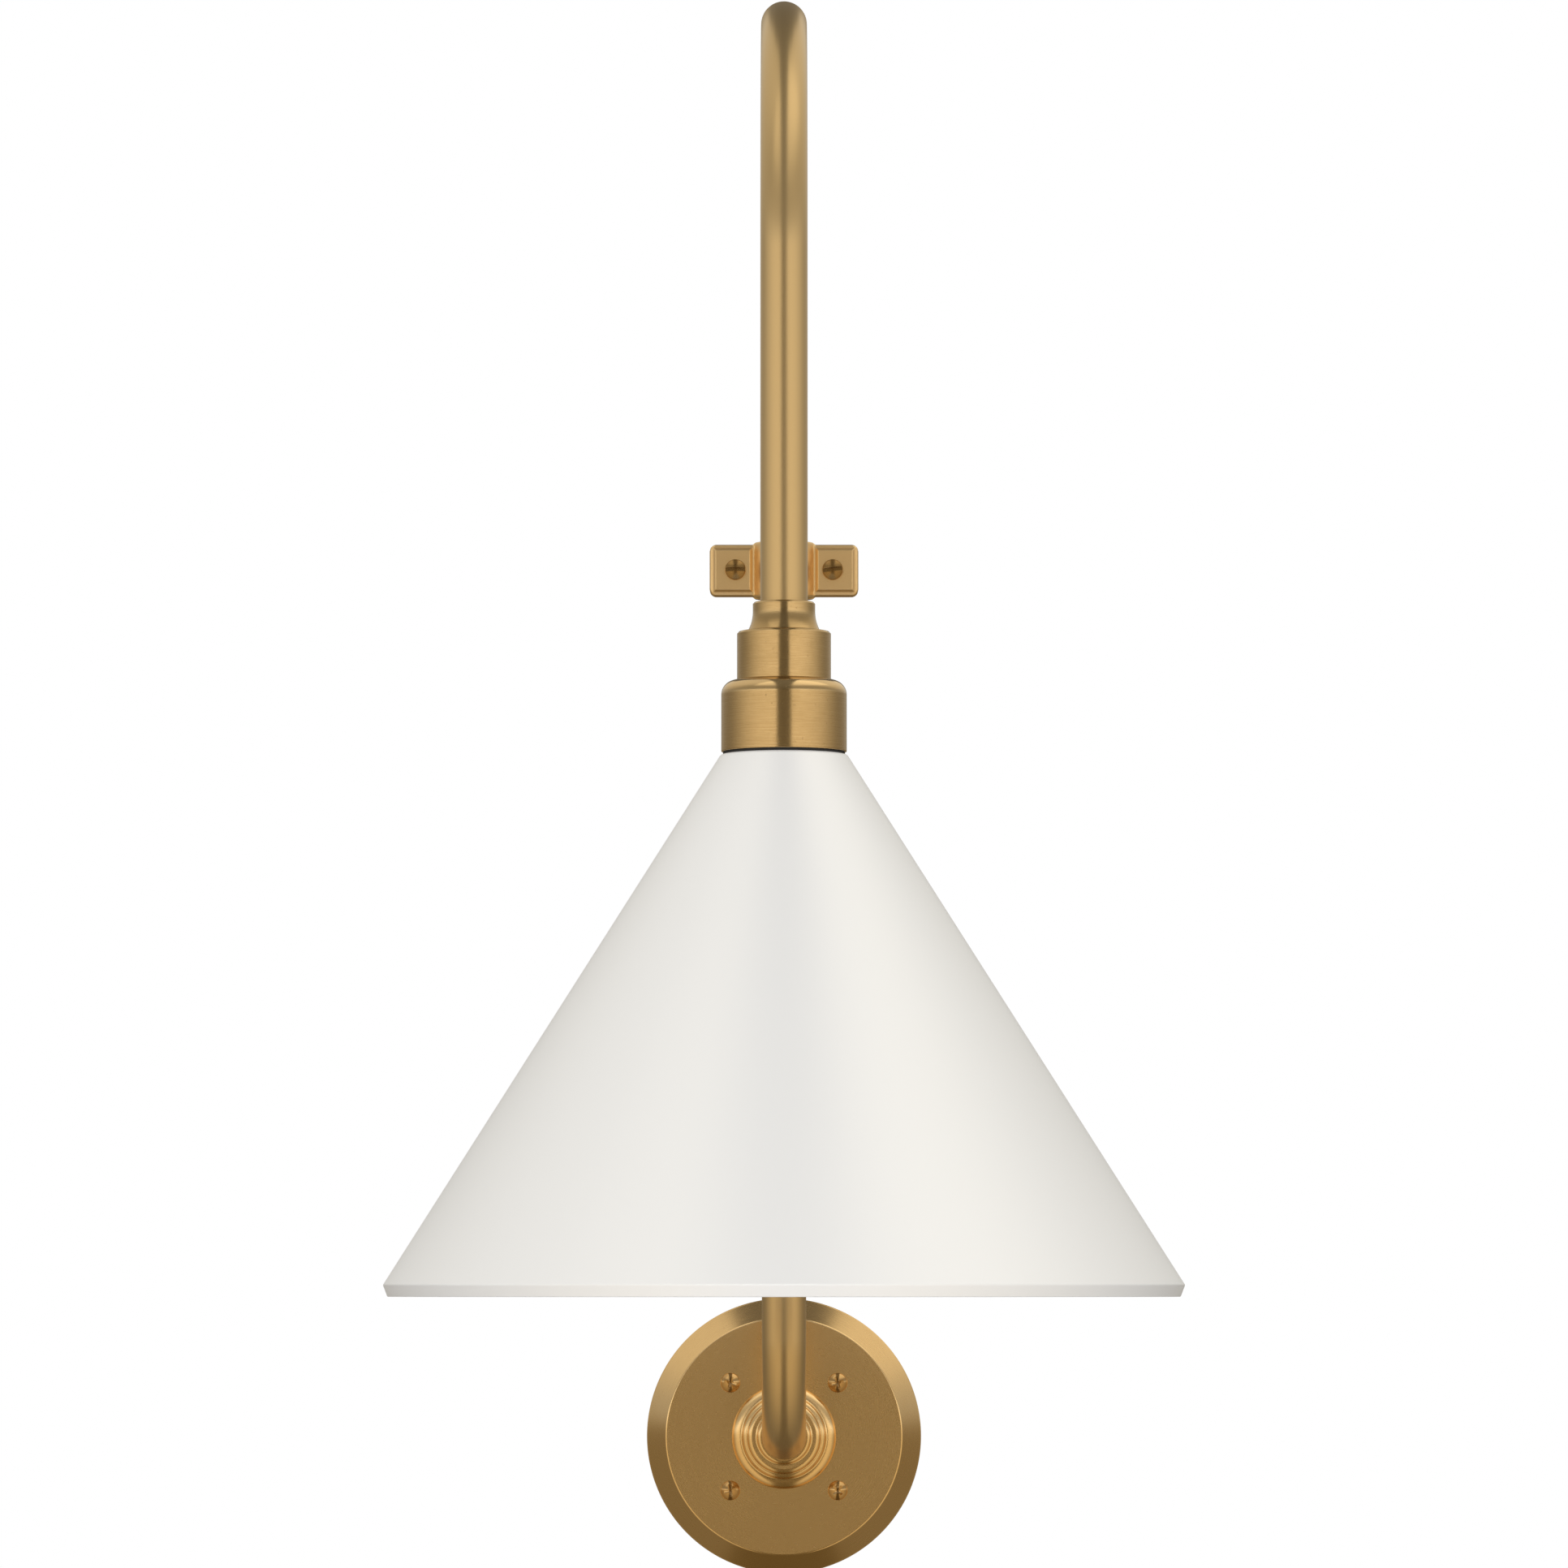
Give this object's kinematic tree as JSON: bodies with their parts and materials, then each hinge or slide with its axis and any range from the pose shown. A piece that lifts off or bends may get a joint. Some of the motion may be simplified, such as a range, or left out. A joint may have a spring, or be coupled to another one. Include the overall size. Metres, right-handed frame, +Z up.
{
  "type": "wall sconce",
  "caption": "Wall sconce with a conical white shade hung from a brass gooseneck that swings in a clamp on a riser from a round backplate.",
  "frame": {"origin": "centre of the backplate on the wall plane, midway between the two wall box screw holes", "axes": "+Z up along the riser, +Y into the wall, +X right when looking at the wall; the arm rests pointing straight out along -Y"},
  "size_m": [0.3198, 0.4599, 0.6622],
  "materials": {
    "satin_brass": "satin, lightly antiqued and lacquered",
    "brass_screws": "satin, turned heads",
    "white_enamel": "gloss white stoved enamel",
    "black_rubber": "matt black",
    "zinc_steel": "bright zinc plate",
    "earth_green": "green lacquered",
    "bronze": "plain bearing bronze",
    "white_ptfe": "natural, waxy",
    "white_moulding": "satin moulded white",
    "glazed_porcelain": "glazed white ceramic",
    "nickel_brass": "nickel washed, rolled",
    "contact_brass": "plain stamped",
    "lead_jacket": "smooth flexible jacket"
  },
  "bodies": {
    "base": {"arm_flange": "satin_brass", "arm_lock_nut": "zinc_steel", "arm_lock_washer": "zinc_steel", "backplate": "satin_brass", "backplate_screws": "brass_screws", "clamp_front": "satin_brass", "clamp_rear": "satin_brass", "clamp_screws": "brass_screws", "ground_screw": "earth_green", "lower_lead": "lead_jacket", "lower_tube": "satin_brass", "mounting_plate": "zinc_steel", "stop_pin": "zinc_steel", "swivel_spigot": "zinc_steel", "terminal_block": "white_moulding", "terminal_screws": "zinc_steel", "thrust_washer": "white_ptfe", "wire_bushing": "black_rubber"},
    "arm": {"gooseneck_tube": "satin_brass", "pivot_bush": "bronze", "pivot_ferrule": "bronze", "upper_lead": "lead_jacket", "neck_collar": "satin_brass", "holder_nipple": "zinc_steel", "nipple_lock_nut": "zinc_steel", "cord_grip": "white_moulding", "socket_cover": "satin_brass", "shade_gallery": "satin_brass", "shade_gasket": "black_rubber", "lampholder_body": "glazed_porcelain", "lampholder_shell": "nickel_brass", "centre_contact": "contact_brass", "lampholder_terminals": "contact_brass", "shade": "white_enamel", "shade_ring": "white_moulding"}
  },
  "joints": [
    {"name": "arm_swing", "type": "hinge", "parent": "base", "child": "arm", "pos_m": [0, -0.08, 0.3746], "axis": [0, 0, 1], "range_deg": [-65, 65]}
  ]
}
